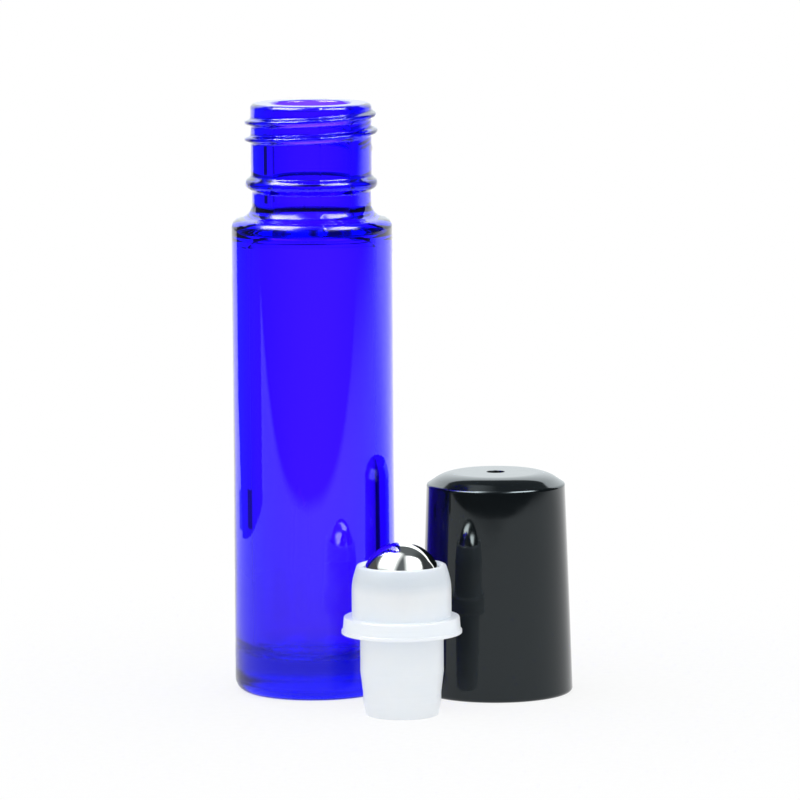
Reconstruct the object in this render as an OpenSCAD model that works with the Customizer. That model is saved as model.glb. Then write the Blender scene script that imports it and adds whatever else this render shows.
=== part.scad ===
// Roll on bottle, opened up: a glass bottle, its roller closure with the steel ball, and its screw cap.
// The bottle stands on the origin with its axis along Z. The closure stands in front of it and to the
// right, on its own plug, and the cap stands to the right on its rim. All lengths are millimetres.

/* [Glass body] */
// Outer diameter of the body
body_d = 20; // [18.4:0.1:24]
// Height at which the side would meet the slope of the shoulder
body_h = 58.9; // [45:0.1:75]
// Thickness of the side wall
glass_wall = 2.4; // [1.4:0.05:2.8]
// Thickness of the floor above the table
floor_h = 4.6; // [3:0.1:8]
// Radius inside, between the wall and the floor
floor_corner_r = 2.2; // [0.5:0.1:4]
// Radius of the outer edge at the foot
heel_r = 2.4; // [1.2:0.1:3.2]
// Width of the flat ring that the bottle stands on
foot_ring_w = 1.1; // [0.6:0.1:2]
// Width of the slope from that ring to the hollow under the bottle
push_up_slope_w = 1.5; // [0.6:0.1:2.5]
// Height of the hollow under the bottle
push_up_h = 0.9; // [0.4:0.1:2]

/* [Shoulder] */
// Slope of the shoulder, in degrees from level
shoulder_slope = 15.2; // [8:0.2:25]
// Radius of the shoulder's outer edge
shoulder_edge_r = 1.3; // [0.5:0.1:1.6]
// Radius of the hollow curve from the shoulder into the neck
shoulder_hollow_r = 2.1; // [0.5:0.1:2.4]
// How far the shoulder's inner face starts below the outer one
inner_shoulder_drop = 1.9; // [1.4:0.1:3]
// Radius inside, where the wall turns into the shoulder
inner_shoulder_r = 2.3; // [0.5:0.1:3]

/* [Neck] */
// Height of the neck from the top of the side to the lip
neck_h = 14.5; // [12:0.1:18]
// Outer diameter of the neck above the bead
neck_d = 15.04; // [14.4:0.02:15.6]
// How much narrower the radius is below the bead
neck_relief = 0.1; // [0:0.02:0.3]
// Height of the screw thread above the neck, which the cap has to clear
thread_h = 0.71; // [0.5:0.01:1]
// Bore of the neck, which holds the plug
bore_d = 9.75; // [8.8:0.05:10.6]
// Radius of the bore's lower edge, where it opens into the body
bore_foot_r = 1.8; // [0.5:0.1:2.5]
// Radius of the lip's outer edge
lip_r = 0.65; // [0.3:0.05:1]
// Radius of the mouth's inner edge
mouth_r = 0.4; // [0.2:0.05:0.8]
// How much smaller the bead's radius is than the thread's
bead_setback = 0.03; // [0:0.01:0.2]
// Height of the bead along the neck
bead_h = 1.9; // [1.2:0.1:2.3]
// Height of the bead's middle above the top of the side
bead_rise = 4.55; // [4:0.05:5.5]

/* [Roller closure] */
// How much larger the plug's radius is than the bore's, before it is pressed in
plug_squeeze = 0.215; // [0.05:0.005:0.25]
// Length of the plug from its tip to the flange
plug_h = 10.06; // [8:0.1:12]
// Height at which the plug reaches its full diameter
plug_full_h = 5.35; // [4.2:0.05:6.5]
// Height at which the lead-in below it starts to widen
plug_lead_h = 2.75; // [2.3:0.05:3.2]
// How much smaller the radius is along the lead-in
plug_lead_in = 0.32; // [0.1:0.02:0.4]
// How much smaller the radius is again at the plug's tip
plug_tip_w = 0.34; // [0.1:0.02:0.5]
// Height over which it narrows to the tip
plug_tip_h = 1.8; // [0.8:0.1:2.2]
// Radius of the tip's outer edge
plug_tip_r = 0.15; // [0.1:0.05:0.4]
// Width of the flat ring at the plug's tip, round its bore
plug_foot_w = 0.74; // [0.6:0.01:1]
// How much smaller the flange's radius is than the neck's
flange_setback = 0.34; // [0.1:0.02:0.6]
// Thickness of the flange
flange_h = 2.05; // [1.6:0.05:3]
// How much smaller the flange's radius is at its upper face
flange_draft = 0.13; // [0:0.01:0.3]
// Radius of the flange's upper edge
flange_edge_r = 0.2; // [0.1:0.05:0.6]
// How far the thin lip at the flange's lower edge stands out
flange_lip = 0.17; // [0.1:0.01:0.25]
// Height of that thin lip
flange_lip_h = 0.4; // [0.3:0.05:0.6]
// Thickness of the cup's wall beside the ball
cup_wall = 1.05; // [0.9:0.05:1.5]
// Height of the cup's rim above the ball's middle
cup_grip_h = 2.2; // [2:0.02:2.8]
// How much the cup's side leans in towards its rim
cup_lean = 0.65; // [0.4:0.05:0.75]
// Height over which it leans in
cup_lean_h = 2.05; // [1.6:0.05:3.4]
// Radius of the curve where it starts to lean in
cup_side_r = 9; // [2:0.5:12]
// Radius of the cup's outer rim
cup_rim_r = 0.45; // [0.2:0.05:0.6]
// Width of the slope from the rim down to the mouth
mouth_slope_w = 0.38; // [0.2:0.02:0.4]
// Height of that slope
mouth_slope_h = 0.25; // [0.15:0.05:0.35]
// Height of the socket's lowest point above the flange's lower face
seat_rise = 1.15; // [1.1:0.05:1.6]
// Thickness of the seat under the ball
seat_wall = 1; // [0.8:0.05:1.2]
// Diameter of the hole that feeds the ball from the plug
feed_d = 3.2; // [2:0.1:4]
// Width of the feed grooves in the seat
groove_w = 1; // [0.6:0.1:1.4]
// Depth of those grooves
groove_depth = 0.4; // [0.2:0.05:0.6]

/* [Roller ball] */
// Diameter of the steel ball
ball_d = 9.8; // [9.4:0.02:10.2]
// Play between the ball and its socket
ball_play = 0.12; // [0.06:0.02:0.2]

/* [Screw cap] */
// Thickness of the cap's wall at its rim
cap_wall = 1.05; // [0.95:0.05:1.4]
// Draft of the cap's side, in degrees
cap_draft = 1.88; // [1:0.02:2.2]
// Play between the cap's wall and the thread
cap_play = 0.2; // [0.15:0.05:0.4]
// Play between the cap's wall and the flange
flange_play = 0.35; // [0.2:0.05:0.5]
// Thickness of the crown
crown_wall = 1.4; // [1:0.05:1.8]
// Height of the slope round the crown, from its edge to its flat middle
crown_slope_h = 1.46; // [0.8:0.02:2]
// Slope there, in degrees from level
crown_slope = 33.5; // [20:0.5:40]
// Radius that rounds the slope into the flat middle
crown_slope_r = 7.6; // [2:0.2:9]
// Radius between the slope and the side, outside and inside
cap_edge_r = 0.45; // [0.2:0.05:0.8]
// Radius of the rim's outer edge
rim_r = 0.55; // [0.2:0.05:0.6]
// Space between the ball and the ceiling of the closed cap
crown_gap = 1.06; // [0.8:0.02:2.5]
// Height of the closed cap's rim above the top of the bottle's side
cap_seat_gap = 0.5; // [0.4:0.05:0.8]
// Inner diameter of the ring under the crown that presses on the ball
seal_ring_d = 5.2; // [4.4:0.1:6]
// Thickness of that ring
seal_ring_w = 0.95; // [0.7:0.05:1.2]
// Diameter of the gate's recess in the crown
gate_d = 2.2; // [1.4:0.1:3]
// Depth of the gate's recess
gate_depth = 0.5; // [0.3:0.05:0.6]
// Diameter of the stub that the gate leaves in it
gate_stub_d = 0.6; // [0.3:0.05:0.8]
// Height of that stub
gate_stub_h = 0.22; // [0.1:0.02:0.28]

/* [Where the pieces stand] */
// Gap between the bottle's side and the closure's flange
closure_gap = 3.75; // [2:0.05:20]
// Direction of the closure from the bottle, in degrees from the X axis
closure_bearing = -59.2; // [-80:0.1:-57]
// Gap between the bottle's side and the cap's rim
cap_gap = 3.2; // [2:0.05:20]
// Direction of the cap from the bottle, in degrees from the X axis
cap_bearing = -5; // [-8:0.5:20]

/* [Hidden] */
$fn = 96;

// Most degrees that one step of a rounded corner turns through
corner_step = 13;
// Largest share of a side that the roundings at its two ends take up together
room_share = 0.98;
// How far a cut runs past the face that it opens
overrun = 1;
// Radius of the small edges of the glass, and of the mouldings
glass_edge_r = 0.3;
moulded_edge_r = 0.1;

// Glass bottle
body_r = body_d / 2;
inner_r = body_r - glass_wall;
neck_r = neck_d / 2;
neck_root_r = neck_r - neck_relief;
bore_r = bore_d / 2;
bottle_h = body_h + neck_h;
slope_rise = (body_r - neck_root_r) * tan(shoulder_slope);
thread_r = neck_r + thread_h;
bead_r = thread_r - bead_setback;
bead_low_z = body_h + bead_rise - bead_h / 2;
bead_top_z = bead_low_z + bead_h;
bead_slope_share = 0.3;
bead_slope_h = bead_h * bead_slope_share;
foot_r = body_r - heel_r;
ring_r = foot_r - foot_ring_w;

// Roller closure
plug_r = bore_r + plug_squeeze;
plug_land_r = plug_r - plug_lead_in;
plug_tip_end_r = plug_land_r - plug_tip_w;
plug_bore_r = plug_tip_end_r - plug_foot_w;
flange_r = neck_r - flange_setback;
flange_lip_r = flange_r + flange_lip;
flange_top_z = plug_h + flange_h;
ball_r = ball_d / 2;
socket_r = ball_r + ball_play;
ball_z = plug_h + seat_rise + socket_r;
cup_r = socket_r + cup_wall;
cup_top_z = ball_z + cup_grip_h;
mouth_edge_r = sqrt(pow(socket_r, 2) - pow(cup_grip_h - mouth_slope_h, 2));

// Screw cap, whose heights follow from the pieces that it covers when it is closed
cap_rim_z = body_h + cap_seat_gap;
closed_ball_z = bottle_h + ball_z - plug_h - cap_rim_z;
cap_h = closed_ball_z + ball_r + crown_gap + crown_wall;
cap_bore_r = thread_r + cap_play;
cap_foot_r = cap_bore_r + cap_wall;
cap_upper_r = flange_lip_r + flange_play;
cap_step_z = bottle_h - cap_rim_z;
cap_step_r = 0.3;
seal_ring_r = seal_ring_d / 2;
seal_gap = 0.1;
seal_ring_z = closed_ball_z + sqrt(pow(ball_r, 2) - pow(seal_ring_r, 2)) + seal_gap;

// Where the closure and the cap stand
closure_at = (body_r + closure_gap + flange_lip_r) * [cos(closure_bearing), sin(closure_bearing), 0];
cap_at = (body_r + cap_gap + cap_foot_r) * [cos(cap_bearing), sin(cap_bearing), 0];

// An outline is a closed list of corners. Each is [radius from the axis, height, radius of its rounding].
function flat(corner) = [corner[0], corner[1]];
function before(i, corners) = corners[(i + len(corners) - 1) % len(corners)];
function after(i, corners) = corners[(i + 1) % len(corners)];
function unit(v) = v / norm(v);

// Half the angle between the two sides that meet at a corner
function half_angle(i, corners) =
    let (
        here = flat(corners[i]),
        back = unit(flat(before(i, corners)) - here),
        ahead = unit(flat(after(i, corners)) - here)
    )
    acos(back * ahead) / 2;

// Length that a corner's rounding takes from each of its sides
function taken(i, corners) =
    let (at = (i + len(corners)) % len(corners))
    corners[at][2] == 0 ? 0 : corners[at][2] / tan(half_angle(at, corners));

// Share of its rounding that a corner keeps, so that two roundings never overlap on the side between them
function kept_share(i, corners) =
    let (
        back_side = norm(flat(corners[i]) - flat(before(i, corners))),
        ahead_side = norm(flat(corners[i]) - flat(after(i, corners))),
        own = taken(i, corners)
    )
    min(
        1,
        room_share * back_side / (own + taken(i - 1, corners)),
        room_share * ahead_side / (own + taken(i + 1, corners))
    );

// Points of the arc that rounds a corner
function corner_arc(i, corners) =
    let (
        here = flat(corners[i]),
        back = unit(flat(before(i, corners)) - here),
        ahead = unit(flat(after(i, corners)) - here),
        half = half_angle(i, corners),
        r = corners[i][2] * kept_share(i, corners),
        centre = here + unit(back + ahead) * r / sin(half),
        first = here + back * r / tan(half) - centre,
        last = here + ahead * r / tan(half) - centre,
        start = atan2(first[1], first[0]),
        sweep = (180 - 2 * half) * sign(cross(first, last))
    )
    arc(centre, r, start, start + sweep);

// Points of an arc from one direction to another, at least three
function arc(centre, r, from, to) =
    let (steps = max(2, ceil(abs(to - from) / corner_step)))
    [for (k = [0:steps])
        let (a = from + (to - from) * k / steps)
        centre + r * [cos(a), sin(a)]];

// Points of an outline, where a corner with no rounding stays sharp
function rounded(corners) =
    [for (i = [0:len(corners) - 1])
        each corners[i][2] == 0 ? [flat(corners[i])] : corner_arc(i, corners)];

module turned(corners) {
    rotate_extrude()
        polygon(rounded(corners));
}

// Corners of a crown, from a drafted side that passes through foot_r at foot_z to the axis at top_z
function crown(foot_r, foot_z, top_z) =
    let (
        edge_z = top_z - crown_slope_h,
        edge_r = foot_r - (edge_z - foot_z) * tan(cap_draft)
    )
    [
        [edge_r, edge_z, cap_edge_r],
        [edge_r - crown_slope_h / tan(crown_slope), top_z, crown_slope_r],
        [0, top_z, 0]
    ];

module glass_bottle() {
    color([0.16, 0.06, 0.92, 0.75])
        turned([
            [0, push_up_h, 0],
            [ring_r - push_up_slope_w, push_up_h, push_up_slope_w],
            [ring_r, 0, glass_edge_r],
            [body_r, 0, heel_r],
            [body_r, body_h, shoulder_edge_r],
            [neck_root_r, body_h + slope_rise, shoulder_hollow_r],
            [neck_root_r, bead_low_z, glass_edge_r],
            [bead_r, bead_low_z + bead_slope_h, bead_h / 2],
            [bead_r, bead_top_z - bead_slope_h, bead_h / 2],
            [neck_r, bead_top_z, glass_edge_r],
            [neck_r, bottle_h, lip_r],
            [bore_r, bottle_h, mouth_r],
            [bore_r, body_h, bore_foot_r],
            [inner_r, body_h - inner_shoulder_drop, inner_shoulder_r],
            [inner_r, floor_h, floor_corner_r],
            [0, floor_h, 0]
        ]);
}

// Outside of the closure, from the plug's tip to the cup's mouth
module closure_outside() {
    turned([
        [0, 0, 0],
        [plug_tip_end_r, 0, plug_tip_r],
        [plug_land_r, plug_tip_h, plug_lead_in],
        [plug_land_r, plug_lead_h, plug_lead_in],
        [plug_r, plug_full_h, plug_lead_in],
        [plug_r, plug_h, moulded_edge_r],
        [flange_lip_r, plug_h, moulded_edge_r / 2],
        [flange_lip_r, plug_h + flange_lip_h, moulded_edge_r / 2],
        [flange_r, plug_h + flange_lip_h, moulded_edge_r / 2],
        [flange_r - flange_draft, flange_top_z, flange_edge_r],
        [cup_r, flange_top_z, moulded_edge_r],
        [cup_r, cup_top_z - cup_lean_h, cup_side_r],
        [cup_r - cup_lean, cup_top_z, cup_rim_r],
        [mouth_edge_r + mouth_slope_w, cup_top_z, moulded_edge_r],
        [mouth_edge_r, cup_top_z - mouth_slope_h, 0],
        [mouth_edge_r, ball_z, 0],
        [0, ball_z, 0]
    ]);
}

// Bore of the plug, which ends under the ball's dished seat
module plug_bore() {
    difference() {
        translate([0, 0, -overrun])
            cylinder(r = plug_bore_r, h = ball_z + overrun);
        translate([0, 0, ball_z])
            sphere(r = socket_r + seat_wall);
    }
}

// Two crossed grooves that carry the liquid up round the ball
module feed_grooves() {
    intersection() {
        translate([0, 0, ball_z])
            sphere(r = socket_r + groove_depth);
        for (turn = [0, 90])
            rotate(turn)
                translate([-cup_r, -groove_w / 2, 0])
                    cube([2 * cup_r, groove_w, ball_z]);
    }
}

module roller_housing() {
    color([0.9, 0.92, 0.95])
        translate(closure_at)
            difference() {
                closure_outside();
                translate([0, 0, ball_z])
                    sphere(r = socket_r);
                plug_bore();
                feed_grooves();
                cylinder(d = feed_d, h = ball_z);
            }
}

module roller_ball() {
    color([0.78, 0.79, 0.8])
        translate(closure_at + [0, 0, ball_z])
            sphere(r = ball_r);
}

// The cap's outside, from the rim up the side and over the crown
module cap_outside() {
    turned(concat([[0, 0, 0], [cap_foot_r, 0, rim_r]], crown(cap_foot_r, 0, cap_h)));
}

// The hollow inside it: a bore over the thread, then a narrower one over the closure, then the ceiling
module cap_hollow() {
    turned(concat(
        [
            [0, -overrun, 0],
            [cap_bore_r, -overrun, 0],
            [cap_bore_r, cap_step_z, cap_step_r],
            [cap_upper_r, cap_step_z + cap_bore_r - cap_upper_r, 0]
        ],
        crown(cap_upper_r, cap_step_z, cap_h - crown_wall)
    ));
}

// Ring under the crown that closes the cup by pressing on the ball
module seal_ring() {
    turned([
        [seal_ring_r, seal_ring_z, moulded_edge_r],
        [seal_ring_r + seal_ring_w, seal_ring_z, moulded_edge_r],
        [seal_ring_r + seal_ring_w, cap_h - crown_wall / 2, 0],
        [seal_ring_r, cap_h - crown_wall / 2, 0]
    ]);
}

// Round recess in the crown, with the stub of the gate standing in it
module gate_recess() {
    translate([0, 0, cap_h - gate_depth])
        difference() {
            cylinder(d = gate_d, h = gate_depth + overrun);
            cylinder(d = gate_stub_d, h = gate_stub_h);
        }
}

module screw_cap() {
    color([0.03, 0.03, 0.035])
        translate(cap_at)
            union() {
                difference() {
                    cap_outside();
                    cap_hollow();
                    gate_recess();
                }
                seal_ring();
            }
}

glass_bottle();
roller_housing();
roller_ball();
screw_cap();
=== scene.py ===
import math

import bpy
import numpy as np
from mathutils import Matrix, Vector


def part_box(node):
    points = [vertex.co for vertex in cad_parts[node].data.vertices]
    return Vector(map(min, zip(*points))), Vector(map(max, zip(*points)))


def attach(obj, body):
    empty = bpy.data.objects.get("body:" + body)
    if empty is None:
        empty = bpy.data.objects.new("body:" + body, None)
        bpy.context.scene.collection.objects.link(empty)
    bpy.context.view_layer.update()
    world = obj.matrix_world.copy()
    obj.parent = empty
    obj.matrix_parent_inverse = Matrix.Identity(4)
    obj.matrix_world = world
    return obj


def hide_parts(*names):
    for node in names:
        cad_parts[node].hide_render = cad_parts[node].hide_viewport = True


# Roll on bottle, opened up: cobalt glass bottle, milky roller closure with its steel ball, black screw cap.
# Sizes of the pieces are in millimetres and become metres where a mesh is made. The stage is in metres.

MM = 0.001
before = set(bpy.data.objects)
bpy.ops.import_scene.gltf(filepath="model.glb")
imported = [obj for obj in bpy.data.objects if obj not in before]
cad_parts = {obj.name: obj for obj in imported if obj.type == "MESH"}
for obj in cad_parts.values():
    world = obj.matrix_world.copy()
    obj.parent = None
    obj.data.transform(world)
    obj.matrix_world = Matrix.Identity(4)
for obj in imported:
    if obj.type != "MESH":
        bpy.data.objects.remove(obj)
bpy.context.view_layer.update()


def middle_and_size(name):
    """Middle and overall size of a CAD node at rest, in millimetres, to a thousandth."""
    low, high = (np.array(corner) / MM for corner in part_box(name))
    return np.round((low + high) / 2, 3), np.round(high - low, 3)


BOTTLE_AT, BOTTLE_SIZE = middle_and_size("glass_bottle")
BALL_AT, BALL_SIZE = middle_and_size("roller_ball")
CLOSURE_H = middle_and_size("roller_housing")[1][2]
CAP_H = middle_and_size("screw_cap")[1][2]


# Outlines and turned meshes

# The share of a straight run that its arcs may take up, and a length that counts as none.
ROOM_SHARE = 0.98
TOUCHING = 1e-6


def rounded(corners, step):
    """Points of an open outline of corners (radius, height, rounding), with an arc at each rounded one."""
    flat = [np.array(corner[:2], float) for corner in corners]
    points = [flat[0]]
    for i in range(1, len(corners) - 1):
        radius = corners[i][2]
        if radius == 0:
            points.append(flat[i])
            continue
        back = flat[i - 1] - flat[i]
        ahead = flat[i + 1] - flat[i]
        back_length = np.linalg.norm(back)
        ahead_length = np.linalg.norm(ahead)
        back = back / back_length
        ahead = ahead / ahead_length
        half = math.acos(np.clip(back @ ahead, -1, 1)) / 2
        # Two rounded corners share the run between them.
        room_back = ROOM_SHARE * back_length / (1 + (corners[i - 1][2] > 0))
        room_ahead = ROOM_SHARE * ahead_length / (1 + (corners[i + 1][2] > 0))
        reach = min(radius / math.tan(half), room_back, room_ahead)
        radius = reach * math.tan(half)
        middle = back + ahead
        centre = flat[i] + middle / np.linalg.norm(middle) * radius / math.sin(half)
        first = flat[i] + back * reach - centre
        last = flat[i] + ahead * reach - centre
        start = math.atan2(first[1], first[0])
        sweep = math.atan2(first[0] * last[1] - first[1] * last[0], first @ last)
        steps = max(3, math.ceil(math.degrees(abs(sweep)) / step))
        for k in range(steps + 1):
            turned = start + sweep * k / steps
            points.append(centre + radius * np.array([math.cos(turned), math.sin(turned)]))
    points.append(flat[-1])
    return points


def arc(centre_z, radius, start, end, step=3.0):
    """Points of an arc round a centre on the axis, from one elevation to another, in degrees."""
    steps = max(2, math.ceil(abs(end - start) / step))
    turns = np.radians(np.linspace(start, end, steps + 1))
    return [np.array([radius * math.cos(a), centre_z + radius * math.sin(a)]) for a in turns]


def with_rows(points, longest, fine=(0.0, 0.0), fine_row=0.12, support=0.1):
    """Adds points along straight runs, closer between two heights, with a support row near each end."""
    out = [points[0]]
    for a, b in zip(points[:-1], points[1:]):
        length = float(np.linalg.norm(b - a))
        if length < TOUCHING:
            continue
        in_fine = min(a[1], b[1]) >= fine[0] - TOUCHING and max(a[1], b[1]) <= fine[1] + TOUCHING
        row = fine_row if in_fine else longest
        stops = list(np.linspace(0, 1, max(1, math.ceil(length / row)) + 1)[1:])
        if length > 4 * support and row > support:
            clear = 1.5 * support
            stops = [s for s in stops if clear < s * length < length - clear]
            stops = [support / length, *stops, 1 - support / length, 1.0]
        out += [a + (b - a) * s for s in stops]
    return out


def even_turns(count):
    return [2 * math.pi * k / count for k in range(count)]


def lathe(name, outline, turns, middle, closed=False, shape=None):
    """One closed mesh turned round an upright axis. shape(radius, turn, height) may shift a point."""
    vertices = []
    rings = []
    for r, z in outline:
        if r < TOUCHING:
            rings.append([len(vertices)])
            vertices.append((middle[0], middle[1], z))
            continue
        rings.append(list(range(len(vertices), len(vertices) + len(turns))))
        for a in turns:
            radius, height = shape(r, a, z) if shape else (r, z)
            vertices.append((middle[0] + radius * math.cos(a), middle[1] + radius * math.sin(a), height))
    pairs = list(zip(rings[:-1], rings[1:]))
    if closed:
        pairs.append((rings[-1], rings[0]))
    faces = []
    for low, high in pairs:
        for j in range(len(turns)):
            k = (j + 1) % len(turns)
            if len(low) == 1 and len(high) > 1:
                faces.append((low[0], high[k], high[j]))
            elif len(high) == 1 and len(low) > 1:
                faces.append((low[j], low[k], high[0]))
            elif len(low) > 1:
                faces.append((low[j], low[k], high[k], high[j]))
    mesh = bpy.data.meshes.new(name)
    mesh.from_pydata([(x * MM, y * MM, z * MM) for x, y, z in vertices], [], faces)
    mesh.validate()
    mesh.shade_smooth()
    obj = bpy.data.objects.new(name, mesh)
    bpy.context.scene.collection.objects.link(obj)
    return obj


# Nodes

MATHS = "ShaderNodeMath"
VECTORS = "ShaderNodeVectorMath"
MIX = "ShaderNodeMix"
NOISE = "ShaderNodeTexNoise"
# A range node takes a value, the two ends of the run it is on, and what it becomes at each end.
RANGE = "ShaderNodeMapRange"
SMOOTH = {"interpolation_type": "SMOOTHSTEP"}


def node(tree, kind, *values, **named):
    """Adds a node with its settings and links. The values fill the inputs in use, in their order.
    A name that begins small is a setting, and any other is an input. A node is linked by its first output."""
    made = tree.nodes.new(kind)
    for key, value in named.items():
        if key[0].islower():
            setattr(made, key, value)
    wanted = list(zip([socket for socket in made.inputs if socket.enabled], values))
    wanted += [(made.inputs[key.replace("_", " ")], named[key]) for key in named if not key[0].islower()]
    for socket, value in wanted:
        if isinstance(value, bpy.types.Node):
            value = next(output for output in value.outputs if output.enabled)
        if isinstance(value, bpy.types.NodeSocket):
            tree.links.new(value, socket)
        else:
            socket.default_value = value
    return made


def linear(code):
    """The linear colour of an sRGB hex code."""
    values = [int(code[i : i + 2], 16) / 255 for i in (1, 3, 5)]
    return tuple(v / 12.92 if v <= 0.04045 else ((v + 0.055) / 1.055) ** 2.4 for v in values) + (1.0,)


def cells(size):
    """The scale at which a noise pattern has cells of that many millimetres."""
    return 1 / (size * MM)


def material(name):
    made = bpy.data.materials.new(name)
    made.use_nodes = True
    made.node_tree.nodes.clear()
    return made, made.node_tree


# Screw thread, raised on a turned piece by geometry nodes

THREAD_INPUTS = (
    "Centre X", "Centre Y", "Core radius", "Reach", "Pitch", "Start height", "Start turn", "End turn",
    "Fade", "Root width", "Crest width", "Ridge height",
)


def thread_tree(name, surface):
    """A tree that raises a helical ridge on a turned surface. The ridge climbs one pitch each turn."""
    tree = bpy.data.node_groups.new(name, "GeometryNodeTree")
    tree.interface.new_socket("Geometry", in_out="INPUT", socket_type="NodeSocketGeometry")
    for label in THREAD_INPUTS:
        tree.interface.new_socket(label, in_out="INPUT", socket_type="NodeSocketFloat")
    tree.interface.new_socket("Geometry", in_out="OUTPUT", socket_type="NodeSocketGeometry")
    given = {socket.name: socket for socket in node(tree, "NodeGroupInput").outputs}

    # Where a point stands round the axis, and how far it is above or below the nearest lap of the helix.
    place = node(tree, "ShaderNodeSeparateXYZ", node(tree, "GeometryNodeInputPosition")).outputs
    x = node(tree, MATHS, place["X"], given["Centre X"], operation="SUBTRACT")
    y = node(tree, MATHS, place["Y"], given["Centre Y"], operation="SUBTRACT")
    y_squared = node(tree, MATHS, y, y, operation="MULTIPLY")
    radius = node(tree, MATHS, node(tree, MATHS, x, x, y_squared, operation="MULTIPLY_ADD"), operation="SQRT")
    angle = node(tree, MATHS, y, x, operation="ARCTAN2")
    turn = node(tree, MATHS, angle, 2 * math.pi, operation="DIVIDE")
    above_start = node(tree, MATHS, place["Z"], given["Start height"], operation="SUBTRACT")
    rise = node(tree, MATHS, above_start, given["Pitch"], operation="DIVIDE")
    lap = node(tree, MATHS, node(tree, MATHS, rise, turn, operation="SUBTRACT"), operation="ROUND")
    along = node(tree, MATHS, lap, turn, operation="ADD")
    laps_off = node(tree, MATHS, node(tree, MATHS, rise, along, operation="SUBTRACT"), operation="ABSOLUTE")
    off = node(tree, MATHS, laps_off, given["Pitch"], operation="MULTIPLY")

    # Full height on the crest, none at the root, and a fade at both ends and away from the core.
    half_crest = node(tree, MATHS, given["Crest width"], 0.5, operation="MULTIPLY")
    half_root = node(tree, MATHS, given["Root width"], 0.5, operation="MULTIPLY")
    flank = node(tree, RANGE, off, half_crest, half_root, 1.0, 0.0, **SMOOTH)
    begun = node(tree, MATHS, given["Start turn"], given["Fade"], operation="ADD")
    starts = node(tree, RANGE, along, given["Start turn"], begun, **SMOOTH)
    ending = node(tree, MATHS, given["End turn"], given["Fade"], operation="SUBTRACT")
    ends = node(tree, RANGE, along, ending, given["End turn"], 1.0, 0.0, **SMOOTH)
    from_core = node(tree, MATHS, radius, given["Core radius"], operation="SUBTRACT")
    away = node(tree, MATHS, from_core, operation="ABSOLUTE")
    half_reach = node(tree, MATHS, given["Reach"], 0.5, operation="MULTIPLY")
    near = node(tree, RANGE, away, half_reach, given["Reach"], 1.0, 0.0, **SMOOTH)

    lift = node(tree, MATHS, flank, near, operation="MULTIPLY")
    lift = node(tree, MATHS, lift, starts, operation="MULTIPLY")
    lift = node(tree, MATHS, lift, ends, operation="MULTIPLY")
    height = node(tree, MATHS, lift, given["Ridge height"], operation="MULTIPLY")
    push = node(tree, MATHS, height, radius, operation="DIVIDE")
    across = node(tree, MATHS, x, push, operation="MULTIPLY")
    back = node(tree, MATHS, y, push, operation="MULTIPLY")
    offset = node(tree, "ShaderNodeCombineXYZ", across, back)
    moved = node(tree, "GeometryNodeSetPosition", Geometry=given["Geometry"], Offset=offset)
    real = node(tree, "GeometryNodeRealizeInstances", node(tree, "GeometryNodeSetShadeSmooth", moved))
    painted = node(tree, "GeometryNodeSetMaterial", Geometry=real, Material=surface)
    node(tree, "NodeGroupOutput", painted)
    return tree


def cut_thread(obj, tree, **values):
    """Runs the thread tree on a piece and keeps the result as its mesh."""
    step = obj.modifiers.new("thread", "NODES")
    step.node_group = tree
    for item in tree.interface.items_tree:
        key = item.name.replace(" ", "_")
        if item.in_out == "INPUT" and key in values:
            step[item.identifier] = values[key]
    seen = obj.evaluated_get(bpy.context.evaluated_depsgraph_get())
    result = bpy.data.meshes.new_from_object(seen)
    obj.modifiers.clear()
    obj.data = result


# Materials


def cobalt_glass():
    # Clear soda-lime glass coloured through with cobalt oxide: nearly all red and green is taken up on the
    # way through, so thin walls read bright violet-blue and the thick base and edges read deeper.
    made, tree = material("cobalt_glass_blown")
    place = node(tree, "ShaderNodeTexCoord").outputs["Object"]
    # Slow waves left by the blow mould, about 6 mm long, that bend reflections a little.
    stretched = node(tree, "ShaderNodeMapping", Vector=place, Scale=(1.0, 1.0, 0.35))
    waves = node(tree, NOISE, Vector=stretched, Scale=cells(5.88), Detail=1.0, Roughness=0.4)
    bump = node(tree, "ShaderNodeBump", Strength=0.12, Distance=0.12 * MM, Height=waves)
    # Handling haze in soft patches, and the duller skin that the bottom plate leaves at the foot.
    patches = node(tree, NOISE, Vector=place, Scale=cells(11.1), Detail=3.0)
    haze = node(tree, RANGE, patches, 0.45, 0.75, 0.0, 0.02, **SMOOTH)
    height = node(tree, "ShaderNodeSeparateXYZ", place).outputs["Z"]
    foot = node(tree, RANGE, height, 10.5 * MM, 4.0 * MM, 0.0, 0.2, **SMOOTH)
    rough = node(tree, MATHS, haze, foot, operation="ADD")
    shader = node(
        tree, "ShaderNodeBsdfPrincipled", Base_Color=(1, 1, 1, 1), Roughness=rough, Normal=bump, IOR=1.52,
        Transmission_Weight=1.0, Specular_Tint=(0.66, 0.60, 1.0, 1.0),
    )
    tint = node(tree, "ShaderNodeVolumeAbsorption", Color=(0.40, 0.04, 0.979, 1.0), Density=1200.0)
    node(tree, "ShaderNodeOutputMaterial", Surface=shader, Volume=tint)
    return made


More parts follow.
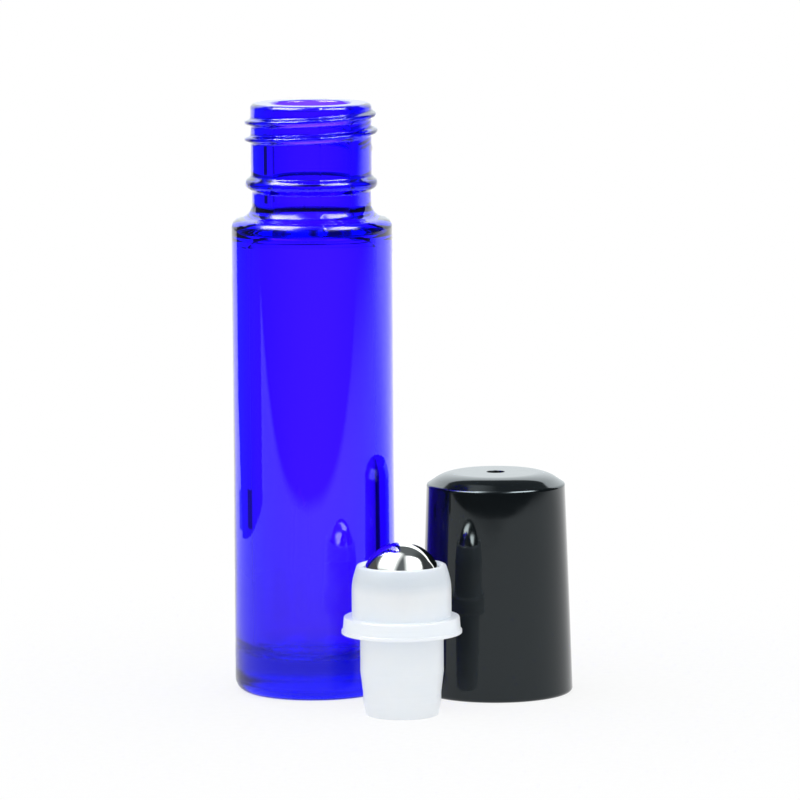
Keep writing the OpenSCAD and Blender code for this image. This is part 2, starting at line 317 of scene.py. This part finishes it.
def natural_polyethylene():
    # Uncoloured moulded polyethylene: milky, light goes in and comes out again, with a soft satin face.
    made, tree = material("polyethylene_moulded_natural")
    place = node(tree, "ShaderNodeTexCoord").outputs["Object"]
    cloud = node(tree, NOISE, Vector=place, Scale=cells(4.55), Detail=2.0)
    milk = node(tree, MIX, cloud, linear("#e8eff9"), linear("#f1f5fc"), data_type="RGBA")
    # Painted shade: a cooler, darker ring painted on the lip, standing in for the steel ball and the cup's
    # shadow seen through the thin wall.
    height = node(tree, "ShaderNodeSeparateXYZ", place).outputs["Z"]
    shade_ring_foot = node(tree, RANGE, height, 15.0 * MM, 16.8 * MM, 0.0, 0.4, **SMOOTH)
    shade_ring_top = node(tree, RANGE, height, 18.7 * MM, 18.3 * MM, **SMOOTH)
    painted_shade_ring = node(tree, MATHS, shade_ring_foot, shade_ring_top, operation="MULTIPLY")
    colour = node(tree, MIX, painted_shade_ring, milk, linear("#bccbd8"), data_type="RGBA")
    # Fine rings left by the turned mould, about 0.3 mm apart, over the grain of the moulded face.
    rings = node(tree, NOISE, noise_dimensions="1D", W=height, Scale=cells(0.3125), Detail=1.0)
    turned = node(tree, "ShaderNodeBump", Strength=0.25, Distance=0.03 * MM, Height=rings)
    grain = node(tree, NOISE, Vector=place, Scale=cells(0.385), Detail=2.0)
    bump = node(tree, "ShaderNodeBump", Strength=0.12, Distance=0.03 * MM, Height=grain, Normal=turned)
    rough = node(tree, RANGE, cloud, 0.3, 0.7, 0.3, 0.4, **SMOOTH)
    shader = node(
        tree, "ShaderNodeBsdfPrincipled", Base_Color=colour, Roughness=rough, Normal=bump, IOR=1.5,
        Subsurface_Weight=0.7, Subsurface_Radius=(1.0, 1.05, 1.15), Subsurface_Scale=1.8 * MM,
    )
    node(tree, "ShaderNodeOutputMaterial", Surface=shader)
    return made


def polished_steel():
    # A ground and lapped stainless ball: a mirror with a faint haze of lapping marks.
    made, tree = material("stainless_ball_lapped")
    place = node(tree, "ShaderNodeTexCoord").outputs["Object"]
    lapping = node(tree, NOISE, Vector=place, Scale=cells(0.714), Detail=4.0, Roughness=0.6)
    rough = node(tree, RANGE, lapping, 0.35, 0.75, 0.015, 0.06, **SMOOTH)
    bump = node(tree, "ShaderNodeBump", Strength=0.05, Distance=0.01 * MM, Height=lapping)
    tone = node(tree, MIX, lapping, linear("#c9c8c4"), linear("#d4d3cf"), data_type="RGBA")
    shader = node(
        tree, "ShaderNodeBsdfPrincipled", Base_Color=tone, Metallic=1.0, Roughness=rough, Normal=bump
    )
    node(tree, "ShaderNodeOutputMaterial", Surface=shader)
    return made


def black_polypropylene():
    # Black polypropylene from a polished mould: a deep gloss with a barely uneven face.
    made, tree = material("polypropylene_polished_mould")
    place = node(tree, "ShaderNodeTexCoord").outputs["Object"]
    uneven = node(tree, NOISE, Vector=place, Scale=cells(3.03), Detail=2.0)
    rough = node(tree, RANGE, uneven, 0.3, 0.75, 0.05, 0.11, **SMOOTH)
    dents = node(tree, "ShaderNodeBump", Strength=0.08, Distance=0.04 * MM, Height=uneven)
    # The wall bellies out by a hair above its rim and curves in below its crown, so it mirrors the floor
    # nearly upright, and the dark room in a crescent under the crown's edge.
    curve_from = 22.7 * MM
    crown_edge = 25.8 * MM
    curve = -302.0
    belly_depth = 26.5 * MM
    height = node(tree, "ShaderNodeSeparateXYZ", place).outputs["Z"]
    height = node(tree, MATHS, height, crown_edge, operation="MINIMUM")
    over = node(tree, MATHS, height, curve_from, operation="SUBTRACT")
    over = node(tree, MATHS, over, 0.0, operation="MAXIMUM")
    over_squared = node(tree, MATHS, over, over, operation="MULTIPLY")
    belly = node(tree, MATHS, over_squared, curve, height, operation="MULTIPLY_ADD")
    bump = node(tree, "ShaderNodeBump", Strength=1.0, Distance=belly_depth, Height=belly, Normal=dents)
    tone = node(tree, MIX, uneven, linear("#090d0f"), linear("#0d1215"), data_type="RGBA")
    shader = node(
        tree, "ShaderNodeBsdfPrincipled", Base_Color=tone, Roughness=rough, Normal=bump, IOR=1.46,
        Specular_Tint=(0.86, 0.96, 1.0, 1.0),
    )
    node(tree, "ShaderNodeOutputMaterial", Surface=shader)
    return made


GLASS = cobalt_glass()
MILKY = natural_polyethylene()
STEEL = polished_steel()
BLACK = black_polypropylene()


# Glass bottle

BODY_R = BOTTLE_SIZE[0] / 2
BOTTLE_H = BOTTLE_SIZE[2]
NECK_H = 14.5
BODY_H = BOTTLE_H - NECK_H
GLASS_WALL = 2.4
INNER_R = BODY_R - GLASS_WALL
FLOOR_H = 4.6
FLOOR_CORNER_R = 2.2
HEEL_R = 2.4
FOOT_RING_W = 1.1
RING_R = BODY_R - HEEL_R - FOOT_RING_W
PUSH_UP_SLOPE_W = 1.5
PUSH_UP_H = 0.9
SHOULDER_SLOPE = math.radians(15.2)
SHOULDER_EDGE_R = 1.3
SHOULDER_HOLLOW_R = 2.1
INNER_SHOULDER_DROP = 1.9
INNER_SHOULDER_R = 2.3
NECK_R = 7.52
ROOT_R = NECK_R - 0.1
BORE_R = 4.875
BORE_FOOT_R = 1.8
LIP_R = 0.65
MOUTH_R = 0.4
GLASS_EDGE_R = 0.3
THREAD_H = 0.71
THREAD_PITCH = 2.1
BEAD_R = NECK_R + THREAD_H - 0.03
BEAD_H = 1.9
BEAD_LOW_Z = BODY_H + 3.6
BEAD_TOP_Z = BEAD_LOW_Z + BEAD_H
BEAD_SLOPE_H = 0.3 * BEAD_H


def bottle_outline():
    slope_rise = (BODY_R - ROOT_R) * math.tan(SHOULDER_SLOPE)
    points = rounded(
        [
            (0, PUSH_UP_H, 0),
            (RING_R - PUSH_UP_SLOPE_W, PUSH_UP_H, PUSH_UP_SLOPE_W),
            (RING_R, 0, GLASS_EDGE_R),
            (BODY_R, 0, HEEL_R),
            (BODY_R, BODY_H, SHOULDER_EDGE_R),
            (ROOT_R, BODY_H + slope_rise, SHOULDER_HOLLOW_R),
            (ROOT_R, BEAD_LOW_Z, GLASS_EDGE_R),
            (BEAD_R, BEAD_LOW_Z + BEAD_SLOPE_H, BEAD_H / 2),
            (BEAD_R, BEAD_TOP_Z - BEAD_SLOPE_H, BEAD_H / 2),
            (NECK_R, BEAD_TOP_Z, GLASS_EDGE_R),
            (NECK_R, BOTTLE_H, LIP_R),
            (BORE_R, BOTTLE_H, MOUTH_R),
            (BORE_R, BODY_H, BORE_FOOT_R),
            (INNER_R, BODY_H - INNER_SHOULDER_DROP, INNER_SHOULDER_R),
            (INNER_R, FLOOR_H, FLOOR_CORNER_R),
            (0, FLOOR_H, 0),
        ],
        step=6.0,
    )
    # Fine rows on the outside of the finish only, where the thread is raised.
    threaded = (BEAD_TOP_Z - 0.1, BOTTLE_H - 0.5)
    bore = next(i for i, (r, z) in enumerate(points) if r < BORE_R + 0.025 and z > BEAD_TOP_Z)
    outside = with_rows(points[: bore + 1], longest=2.6, fine=threaded)
    return outside + with_rows(points[bore:], longest=2.6)[1:]


SEAMS = (math.radians(100), math.radians(280))
SEAM_H = 0.07
SEAM_W = 0.11
SEAM_FOOT_Z = BODY_H - 0.7
SEAM_SPREAD = 2.4
SEAM_STEP = 0.3
CLOSEST_TURNS = 0.002
OUTSIDE_R = 7.0
WANDER_FOOT_Z = FLOOR_H + 0.9
WANDER_TOP_Z = BODY_H - 1.4
WANDER_EASE_H = 4.0
OVAL_H = 0.04
TRIANGLE_H = 0.025
TWIST_H = 19.0


def bottle_turns():
    """Directions round the bottle, closer together at the two mould seams."""
    turns = set(round(a, 6) for a in even_turns(256))
    for seam in SEAMS:
        beside = np.arange(-SEAM_SPREAD, SEAM_SPREAD + SEAM_STEP / 2, SEAM_STEP)
        turns |= set(round(seam + math.radians(degrees), 6) for degrees in beside)
    ordered = sorted(turns)
    following = ordered[1:] + [ordered[0] + 2 * math.pi]
    return [a for a, b in zip(ordered, following) if b - a > CLOSEST_TURNS]


def bottle_shape(r, a, z):
    """Small unevenness of blown glass: the seams outside the finish, and a wandering inner wall."""
    if r > OUTSIDE_R and z > SEAM_FOOT_Z:
        for seam in SEAMS:
            off = (a - seam + math.pi) % (2 * math.pi) - math.pi
            r += SEAM_H * math.exp(-((off * r / SEAM_W) ** 2))
    if r < BODY_R - GLASS_WALL / 2 and WANDER_FOOT_Z < z < WANDER_TOP_Z:
        ease = min(1.0, (z - WANDER_FOOT_Z) / WANDER_EASE_H, (WANDER_TOP_Z - z) / WANDER_EASE_H)
        oval = OVAL_H * math.sin(2 * a + 0.6)
        triangle = TRIANGLE_H * math.sin(3 * a + 2.0 + z / TWIST_H)
        r += ease * (oval + triangle)
    return r, z


glass_bottle = lathe(
    "glass_bottle_blown", bottle_outline(), bottle_turns(), BOTTLE_AT, shape=bottle_shape
)
cut_thread(
    glass_bottle,
    thread_tree("screw_thread_on_glass", GLASS),
    Centre_X=BOTTLE_AT[0] * MM,
    Centre_Y=BOTTLE_AT[1] * MM,
    Core_radius=NECK_R * MM,
    Reach=0.6 * MM,
    Pitch=THREAD_PITCH * MM,
    Start_height=(BODY_H + 8.95) * MM,
    Start_turn=-15 / 360,
    End_turn=765 / 360,
    Fade=70 / 360,
    Root_width=1.1 * MM,
    Crest_width=0.25 * MM,
    Ridge_height=THREAD_H * MM,
)


def beside_body(gap, radius, bearing):
    """Middle of a round piece that stands a gap away from the bottle's body, to a thousandth."""
    away = BODY_R + gap + radius
    return round(away * math.cos(bearing), 3), round(away * math.sin(bearing), 3)


# Roller closure: the ball, and the moulding that holds it

CLOSURE_GAP = 3.75
CLOSURE_BEARING = math.radians(-59.2)
BALL_R = BALL_SIZE[2] / 2
BALL_Z = BALL_AT[2]
SOCKET_R = BALL_R + 0.12
SEAT_R = SOCKET_R + 1.0
FEED_R = 1.6
PLUG_R = BORE_R + 0.215
PLUG_LAND_R = PLUG_R - 0.32
PLUG_TIP_R = PLUG_LAND_R - 0.34
PLUG_BORE_R = PLUG_TIP_R - 0.74
PLUG_EDGE_R = 0.32
PLUG_TIP_EDGE_R = 0.15
PLUG_TIP_H = 1.8
PLUG_LEAD_H = 2.75
PLUG_FULL_H = 5.35
PLUG_H = 10.06
PLUG_BORE_TOP_ROW = 0.07
PLUG_BORE_FOOT_ROW = 0.05
FLANGE_R = NECK_R - 0.34
FLANGE_LIP_R = FLANGE_R + 0.17
FLANGE_LIP_H = 0.4
FLANGE_DRAFT = 0.13
FLANGE_EDGE_R = 0.2
FLANGE_TOP_Z = PLUG_H + 2.05
MOULDED_EDGE_R = 0.1
CUP_R = SOCKET_R + 1.05
CUP_TOP_Z = CLOSURE_H
CUP_LEAN = 0.65
CUP_LEAN_H = 2.05
CUP_SIDE_R = 9.0
CUP_RIM_R = 0.45
MOUTH_SLOPE_W = 0.38
MOUTH_SLOPE_H = 0.25
GROOVE_W = 1.0
GROOVE_DEPTH = 0.4
GROOVE_EDGE = 0.12
GROOVE_RUN_OUT = 0.6


def housing_outline():
    mouth_z = CUP_TOP_Z - MOUTH_SLOPE_H
    mouth_r = math.sqrt(SOCKET_R**2 - (mouth_z - BALL_Z) ** 2)
    outside = rounded(
        [
            (PLUG_BORE_R, 0, 0),
            (PLUG_TIP_R, 0, PLUG_TIP_EDGE_R),
            (PLUG_LAND_R, PLUG_TIP_H, PLUG_EDGE_R),
            (PLUG_LAND_R, PLUG_LEAD_H, PLUG_EDGE_R),
            (PLUG_R, PLUG_FULL_H, PLUG_EDGE_R),
            (PLUG_R, PLUG_H, MOULDED_EDGE_R),
            (FLANGE_LIP_R, PLUG_H, MOULDED_EDGE_R / 2),
            (FLANGE_LIP_R, PLUG_H + FLANGE_LIP_H, MOULDED_EDGE_R / 2),
            (FLANGE_R, PLUG_H + FLANGE_LIP_H, MOULDED_EDGE_R / 2),
            (FLANGE_R - FLANGE_DRAFT, FLANGE_TOP_Z, FLANGE_EDGE_R),
            (CUP_R, FLANGE_TOP_Z, MOULDED_EDGE_R),
            (CUP_R, CUP_TOP_Z - CUP_LEAN_H, CUP_SIDE_R),
            (CUP_R - CUP_LEAN, CUP_TOP_Z, CUP_RIM_R),
            (mouth_r + MOUTH_SLOPE_W, CUP_TOP_Z, MOULDED_EDGE_R),
            (mouth_r, mouth_z, 0),
        ],
        step=6.0,
    )
    mouth_up = math.degrees(math.asin((mouth_z - BALL_Z) / SOCKET_R))
    feed_in_socket = -math.degrees(math.acos(FEED_R / SOCKET_R))
    feed_in_seat = -math.degrees(math.acos(FEED_R / SEAT_R))
    bore_in_seat = -math.degrees(math.acos(PLUG_BORE_R / SEAT_R))
    socket = arc(BALL_Z, SOCKET_R, mouth_up, feed_in_socket)
    seat = arc(BALL_Z, SEAT_R, feed_in_seat, bore_in_seat)
    bore_top_z = seat[-1][1] - PLUG_BORE_TOP_ROW
    bore = [np.array([PLUG_BORE_R, bore_top_z]), np.array([PLUG_BORE_R, PLUG_BORE_FOOT_ROW])]
    return with_rows(outside, longest=0.8, support=0.06) + socket[1:] + seat + with_rows(bore, longest=1.5)


def feed_grooves(r, a, z):
    """Two crossed grooves in the seat that carry the liquid up round the ball."""
    away = math.hypot(r, z - BALL_Z)
    if abs(away - SOCKET_R) > 0.01 or z > BALL_Z:
        return r, z
    off = min(abs(r * math.cos(a)), abs(r * math.sin(a)))
    inside = min(1.0, max(0.0, ((GROOVE_W + GROOVE_EDGE) / 2 - off) / GROOVE_EDGE))
    depth = GROOVE_DEPTH * inside * min(1.0, (BALL_Z - z) / GROOVE_RUN_OUT)
    return r * (1 + depth / away), BALL_Z + (z - BALL_Z) * (1 + depth / away)


def ball_outline():
    pole_gap = 2.5
    poles = [np.array([0, BALL_Z - BALL_R]), np.array([0, BALL_Z + BALL_R])]
    return poles[:1] + arc(BALL_Z, BALL_R, pole_gap - 90, 90 - pole_gap, pole_gap) + poles[1:]


CLOSURE_AT = beside_body(CLOSURE_GAP, FLANGE_LIP_R, CLOSURE_BEARING)
roller_housing = lathe(
    "roller_housing_moulded", housing_outline(), even_turns(192), CLOSURE_AT, closed=True, shape=feed_grooves
)
roller_housing.data.materials.append(MILKY)
roller_ball = lathe("roller_ball_lapped", ball_outline(), even_turns(144), CLOSURE_AT)
roller_ball.data.materials.append(STEEL)


# Screw cap

CAP_GAP = 3.2
CAP_BEARING = math.radians(-5.0)
DRAFT = math.tan(math.radians(1.88))
CAP_BORE_R = NECK_R + THREAD_H + 0.2
CAP_FOOT_R = CAP_BORE_R + 1.05
CAP_UPPER_R = FLANGE_LIP_R + 0.35
CAP_STEP_Z = 14.0
CAP_STEP_H = 0.71
CAP_STEP_EDGE_R = 0.3
CAP_THREAD_FOOT_Z = 6.0
CAP_EDGE_R = 0.45
CROWN_WALL = 1.4
CROWN_SLOPE_H = 1.46
CROWN_RUN = CROWN_SLOPE_H / math.tan(math.radians(33.5))
CROWN_SLOPE_R = 7.6
SIDE_SPLIT = 20.0
RIM_R = 0.55
INNER_RIM_R = 0.12
CEILING_DIP = 0.1
SEAL_RING_R = 2.6
SEAL_RING_W = 0.95
SEAL_RING_Z = 24.42
GATE_R = 1.1
GATE_DEPTH = 0.5
GATE_DRAFT = 0.02
GATE_EDGE_R = 0.1
GATE_CORNER_R = 0.12
STUB_R = 0.28
STUB_DRAFT = 0.08
STUB_FOOT_R = 0.06
STUB_EDGE_R = 0.05
STUB_TOP_Z = CAP_H - 0.28


def cap_outline():
    edge_z = CAP_H - CROWN_SLOPE_H
    edge_r = CAP_FOOT_R - edge_z * DRAFT
    # The side is split on its straight run, where the inside's rows meet the outside's.
    side = (edge_r + SIDE_SPLIT * DRAFT, edge_z - SIDE_SPLIT, 0)
    ceiling_z = CAP_H - CROWN_WALL
    under_z = edge_z - CROWN_WALL
    under_r = CAP_UPPER_R - (under_z - CAP_STEP_Z) * DRAFT
    ring_outer_r = SEAL_RING_R + SEAL_RING_W
    inside = rounded(
        [
            (0, ceiling_z, 0),
            (SEAL_RING_R, ceiling_z, MOULDED_EDGE_R),
            (SEAL_RING_R, SEAL_RING_Z, MOULDED_EDGE_R),
            (ring_outer_r, SEAL_RING_Z, MOULDED_EDGE_R),
            (ring_outer_r, ceiling_z - CEILING_DIP, MOULDED_EDGE_R),
            (under_r, under_z, CAP_EDGE_R),
            (CAP_UPPER_R, CAP_STEP_Z + CAP_STEP_H, 0),
            (CAP_BORE_R, CAP_STEP_Z, CAP_STEP_EDGE_R),
            (CAP_BORE_R, 0, INNER_RIM_R),
            (CAP_FOOT_R, 0, RIM_R),
            side,
        ],
        step=8,
    )
    outside = rounded(
        [
            side,
            (edge_r, edge_z, CAP_EDGE_R),
            (edge_r - CROWN_RUN, CAP_H, CROWN_SLOPE_R),
            (GATE_R + GATE_DRAFT, CAP_H, GATE_EDGE_R),
            (GATE_R, CAP_H - GATE_DEPTH, GATE_CORNER_R),
            (STUB_R + STUB_DRAFT, CAP_H - GATE_DEPTH, STUB_FOOT_R),
            (STUB_R, STUB_TOP_Z, STUB_EDGE_R),
            (0, STUB_TOP_Z, 0),
        ],
        step=3.0,
    )
    threaded = (CAP_THREAD_FOOT_Z, CAP_STEP_Z + 0.1)
    inside = with_rows(inside[:-1], longest=0.8, fine=threaded, fine_row=0.13)
    return inside + with_rows(outside, longest=0.8)


CAP_AT = beside_body(CAP_GAP, CAP_FOOT_R, CAP_BEARING)
screw_cap = lathe("screw_cap_moulded", cap_outline(), even_turns(256), CAP_AT)
cut_thread(
    screw_cap,
    thread_tree("screw_thread_in_cap", BLACK),
    Centre_X=CAP_AT[0] * MM,
    Centre_Y=CAP_AT[1] * MM,
    Core_radius=CAP_BORE_R * MM,
    Reach=0.5 * MM,
    Pitch=THREAD_PITCH * MM,
    Start_height=9.0 * MM,
    Start_turn=0.0,
    End_turn=1.6,
    Fade=0.1,
    Root_width=1.2 * MM,
    Crest_width=0.35 * MM,
    Ridge_height=-0.6 * MM,
)


# Pieces and bodies

for piece, body, stands_for, finish in (
    (glass_bottle, "bottle", "glass_bottle", "cobalt_glass"),
    (roller_housing, "closure", "roller_housing", "natural_polyethylene"),
    (roller_ball, "ball", "roller_ball", "polished_steel"),
    (screw_cap, "cap", "screw_cap", "black_polypropylene"),
):
    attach(piece, body)
    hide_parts(stands_for)


# Floor and surroundings, in metres

SHEET_FRONT_Y = -0.182
SHEET_SLANT_LEFT = -0.165
SHEET_SLANT_RIGHT = -0.05
SHEET_EDGE_BLUR = 0.014
BEYOND_SHEET_TONE = (0.08, 0.08, 0.08, 1)
WHITE = (1, 1, 1, 1)


def seen_directly(tree):
    """Two outputs: 1 for what the camera looks at, and 1 for what a mirror or the glass looks at."""
    ray = node(tree, "ShaderNodeLightPath").outputs
    mirrored = node(tree, MATHS, ray["Is Glossy Ray"], ray["Is Transmission Ray"], operation="MAXIMUM")
    return ray["Is Camera Ray"], mirrored


def floor_material():
    # White paper sheet that ends in front of the objects and to the right of them; beyond it, mirrors and the
    # glass see a flat dark grey.
    made, tree = material("floor_paper")
    camera, mirrored = seen_directly(tree)
    place = node(tree, "ShaderNodeTexCoord").outputs["Object"]
    spot = node(tree, "ShaderNodeSeparateXYZ", place).outputs
    x, y = spot["X"], spot["Y"]
    weave = node(tree, NOISE, Vector=place, Scale=cells(1.11), Detail=3.0)
    tone = node(tree, RANGE, weave, 0.3, 0.7, 0.86, 0.94, **SMOOTH)
    cool = node(tree, VECTORS, tone, (0.975, 1.0, 1.02), operation="MULTIPLY")
    paper = node(tree, "ShaderNodeBsdfDiffuse", cool)
    # The paper keeps the objects' shadow and goes over to plain white away from them.
    among_pieces = (0.012, -0.005, 0.0)
    distance = node(tree, VECTORS, place, among_pieces, operation="DISTANCE")
    share = node(tree, RANGE, distance, 0.02, 0.11, 0.82, 1.0, **SMOOTH)
    white = node(tree, "ShaderNodeEmission", WHITE, 1.0)
    plain = node(tree, "ShaderNodeMixShader", share, paper, white)
    # The sheet's own brightness also lifts the shaded undersides of the pieces.
    lifting = node(tree, MATHS, camera, 0.6, operation="MAXIMUM")
    looked_at = node(tree, "ShaderNodeMixShader", lifting, paper, plain)
    # Painted light: mirrors and the glass see the sheet glow brighter towards the backdrop.
    behind = node(tree, RANGE, y, 0.03, 0.22, 1.06, 1.55, **SMOOTH)
    glow = node(tree, "ShaderNodeEmission", WHITE, behind)
    # The painted glow is held back under the bottle, where the paper only gets what light comes through the
    # glass.
    from_foot = node(tree, VECTORS, place, operation="LENGTH")
    uncovered = node(tree, RANGE, from_foot, 0.008, 0.0125, 0.1, 1.0, **SMOOTH)
    open_share = node(tree, MATHS, share, uncovered, operation="MULTIPLY")
    sheet = node(tree, "ShaderNodeMixShader", open_share, paper, glow)
    # The sheet's front edge runs at a slant that is steeper on the left, and its right corner is cut.
    left_edge = node(tree, MATHS, x, SHEET_SLANT_LEFT, operation="MULTIPLY")
    right_edge = node(tree, MATHS, x, SHEET_SLANT_RIGHT, operation="MULTIPLY")
    edge = node(tree, MATHS, left_edge, right_edge, operation="MAXIMUM")
    edge = node(tree, MATHS, edge, SHEET_FRONT_Y, operation="ADD")
    past_edge = node(tree, MATHS, y, edge, operation="SUBTRACT")
    on_sheet = node(tree, RANGE, past_edge, -SHEET_EDGE_BLUR, SHEET_EDGE_BLUR, **SMOOTH)
    across = node(tree, MATHS, x, y, operation="SUBTRACT")
    across = node(tree, MATHS, across, 0.707, operation="MULTIPLY")
    corner = node(tree, RANGE, across, 0.2, 0.52, 1.0, 0.0, **SMOOTH)
    on_sheet = node(tree, MATHS, on_sheet, corner, operation="MULTIPLY")
    # Beyond the sheet's edges, mirrors and the glass see a flat dark grey glow.
    beyond_sheet = node(tree, "ShaderNodeEmission", BEYOND_SHEET_TONE, 1.0)
    mirrored_floor = node(tree, "ShaderNodeMixShader", on_sheet, beyond_sheet, sheet)
    both = node(tree, "ShaderNodeMixShader", mirrored, looked_at, mirrored_floor)
    node(tree, "ShaderNodeOutputMaterial", Surface=both)
    return made


def window_light():
    # Bright sky in the middle of each window, falling off softly towards its frame.
    made, tree = material("window_light")
    made.cycles.emission_sampling = "NONE"
    place = node(tree, "ShaderNodeTexCoord").outputs["UV"]
    panes, skirts = [], []
    for axis in node(tree, "ShaderNodeSeparateXYZ", place).outputs[:2]:
        off = node(tree, MATHS, axis, 0.5, operation="SUBTRACT")
        off = node(tree, MATHS, off, operation="ABSOLUTE")
        panes.append(node(tree, RANGE, off, 0.38, 0.2, **SMOOTH))
        skirts.append(node(tree, RANGE, off, 0.5, 0.26, **SMOOTH))
    pane = node(tree, MATHS, node(tree, MATHS, *panes, operation="MULTIPLY"), 2.0, operation="POWER")
    skirt = node(tree, MATHS, node(tree, MATHS, *skirts, operation="MULTIPLY"), 1.7, operation="MULTIPLY")
    from_middle = node(tree, VECTORS, place, (0.5, 0.5, 0.0), operation="DISTANCE")
    sky = node(tree, RANGE, from_middle, 0.5, 0.1, 6.0, 19.0, **SMOOTH)
    strength = node(tree, MATHS, pane, sky, skirt, operation="MULTIPLY_ADD")
    glow = node(tree, "ShaderNodeEmission", (1.0, 1.06, 1.08, 1), strength)
    both = node(tree, "ShaderNodeAddShader", node(tree, "ShaderNodeBsdfTransparent"), glow)
    node(tree, "ShaderNodeOutputMaterial", Surface=both)
    return made


def grey_card(name, strength):
    made, tree = material(name)
    made.cycles.emission_sampling = "NONE"
    glow = node(tree, "ShaderNodeEmission", WHITE, strength)
    node(tree, "ShaderNodeOutputMaterial", Surface=glow)
    return made


def quad(name, corners, surface):
    mesh = bpy.data.meshes.new(name)
    mesh.from_pydata(corners, [], [(0, 1, 2, 3)])
    mesh.materials.append(surface)
    across = mesh.uv_layers.new(name="across")
    for loop, at in zip(across.data, ((0, 0), (1, 0), (1, 1), (0, 1))):
        loop.uv = at
    obj = bpy.data.objects.new(name, mesh)
    bpy.context.scene.collection.objects.link(obj)
    return obj


def window(name, ways, surface):
    """A window given by the directions of its corners from the objects, seen only in mirrors and glass."""
    among_pieces = Vector((0.011, -0.01, 0.03))
    away = 0.9
    obj = quad(name, [among_pieces + Vector(way).normalized() * away for way in ways], surface)
    obj.visible_camera = obj.visible_diffuse = obj.visible_shadow = False


def card(name, near, far, low, high, surface, far_foot=None, through_glass=False):
    """An upright card, seen only in reflections, or through the glass as well."""
    corners = [(*near, low), (*(far_foot or far), low), (*far, high), (*near, high)]
    obj = quad(name, corners, surface)
    obj.visible_camera = obj.visible_diffuse = obj.visible_shadow = False
    obj.visible_transmission = through_glass


FLOOR_REACH = 2.0
FLOOR_CORNERS = [(x * FLOOR_REACH, y * FLOOR_REACH, 0) for x, y in ((-1, -1), (1, -1), (1, 1), (-1, 1))]
quad("floor", FLOOR_CORNERS, floor_material())

WINDOW = window_light()
window("window_left", [(0.22, 0.14, 1), (-0.64, 0.82, 1), (-2.5, -0.16, 1), (-0.62, -2.0, 1)], WINDOW)
window("window_right", [(0.02, 0.04, 1), (0.86, 0.32, 1), (2.3, -0.6, 1), (0.24, -2.0, 1)], WINDOW)

DARK = grey_card("grey_card", 0.12)
PALE = grey_card("pale_card", 0.3)
LEFT_NEAR = (-0.174, -0.040)
LEFT_FAR = (-0.106, 0.096)
LEFT_FOOT_H = 0.02
card("card_left", LEFT_NEAR, LEFT_FAR, LEFT_FOOT_H, 0.12, DARK)
card("card_left_foot", LEFT_NEAR, LEFT_FAR, 0, LEFT_FOOT_H, DARK, far_foot=(-0.118, 0.073))
# Dark posts at the back left that show through the body and through the neck as thin streaks.
card("post_behind_body", (-0.129, 0.070), (-0.109, 0.097), 0, 0.006, PALE, through_glass=True)
card("post_behind_neck", (-0.1236, 0.0966), (-0.0966, 0.1236), 0.047, 0.057, DARK, through_glass=True)


BACKDROP_TOP = 0.95
BACKDROP_SIDE = 0.72
BACKDROP_BLUR = 0.03


def studio_light():
    """White backdrop behind, dim ceiling and dark room in front, and an even soft light on the objects."""
    world = bpy.data.worlds.new("studio")
    world.use_nodes = True
    tree = world.node_tree
    tree.nodes.clear()
    camera, mirrored = seen_directly(tree)
    way = node(tree, "ShaderNodeSeparateXYZ", node(tree, "ShaderNodeTexCoord").outputs["Generated"]).outputs
    x, y, z = way["X"], way["Y"], way["Z"]
    # The backdrop ends above and at both sides.
    top = node(tree, MATHS, y, BACKDROP_TOP, operation="MULTIPLY")
    below_top = node(tree, MATHS, top, z, operation="SUBTRACT")
    sideways = node(tree, MATHS, x, operation="ABSOLUTE")
    between_sides = node(tree, MATHS, sideways, -BACKDROP_SIDE, y, operation="MULTIPLY_ADD")
    within = node(tree, MATHS, below_top, between_sides, operation="MINIMUM")
    backdrop = node(tree, RANGE, within, -BACKDROP_BLUR, BACKDROP_BLUR, **SMOOTH)
    # It is lit from above, so it grows brighter with height.
    upwards = node(tree, MATHS, z, 2.35, 1.07, operation="MULTIPLY_ADD")
    backdrop_light = node(tree, VECTORS, upwards, (1.0, 1.07, 1.1), operation="MULTIPLY")
    # The ceiling is dimmer to the right.
    leftwards = node(tree, RANGE, x, 0.3, 0.65, 1.0, 0.35, **SMOOTH)
    ceiling = node(tree, VECTORS, leftwards, (0.175, 0.2, 0.215), operation="MULTIPLY")
    overhead = node(tree, RANGE, z, 0.0, 0.6, **SMOOTH)
    room = node(tree, MIX, overhead, (0.07, 0.07, 0.07, 1), ceiling, data_type="RGBA")
    around = node(tree, MIX, backdrop, room, backdrop_light, data_type="RGBA")
    soft = node(tree, RANGE, z, -0.2, 1.0, 0.85, 1.15, **SMOOTH)
    lit = node(tree, MIX, mirrored, soft, around, data_type="RGBA")
    whole = node(tree, MIX, camera, lit, WHITE, data_type="RGBA")
    node(tree, "ShaderNodeOutputWorld", Surface=node(tree, "ShaderNodeBackground", whole, 1.0))
    bpy.context.scene.world = world


studio_light()


# Camera and view

CAMERA_AT = (0.010777, -0.71429, 0.12544)
LENS = 260.6
SENSOR_W = 36.0
PITCH = math.radians(7.112)
ROLL = math.radians(-0.388)

scene = bpy.context.scene
camera = bpy.data.objects.new("camera", bpy.data.cameras.new("camera"))
scene.collection.objects.link(camera)
camera.data.lens = LENS
camera.data.sensor_width = SENSOR_W
camera.data.clip_start = 0.05
camera.data.clip_end = 20.0
forward = Vector((0, math.cos(PITCH), -math.sin(PITCH)))
level_side = Vector((1, 0, 0))
level_up = level_side.cross(forward)
side = level_side * math.cos(ROLL) + level_up * math.sin(ROLL)
up = level_up * math.cos(ROLL) - level_side * math.sin(ROLL)
camera.matrix_world = Matrix.Translation(CAMERA_AT) @ Matrix((side, up, -forward)).transposed().to_4x4()
scene.camera = camera

scene.view_settings.view_transform = "Standard"
scene.cycles.max_bounces = 24
scene.cycles.transmission_bounces = 20
scene.cycles.glossy_bounces = 8
scene.cycles.diffuse_bounces = 4
scene.cycles.transparent_max_bounces = 8
scene.cycles.use_denoising = True
scene.cycles.sample_clamp_indirect = 8.0
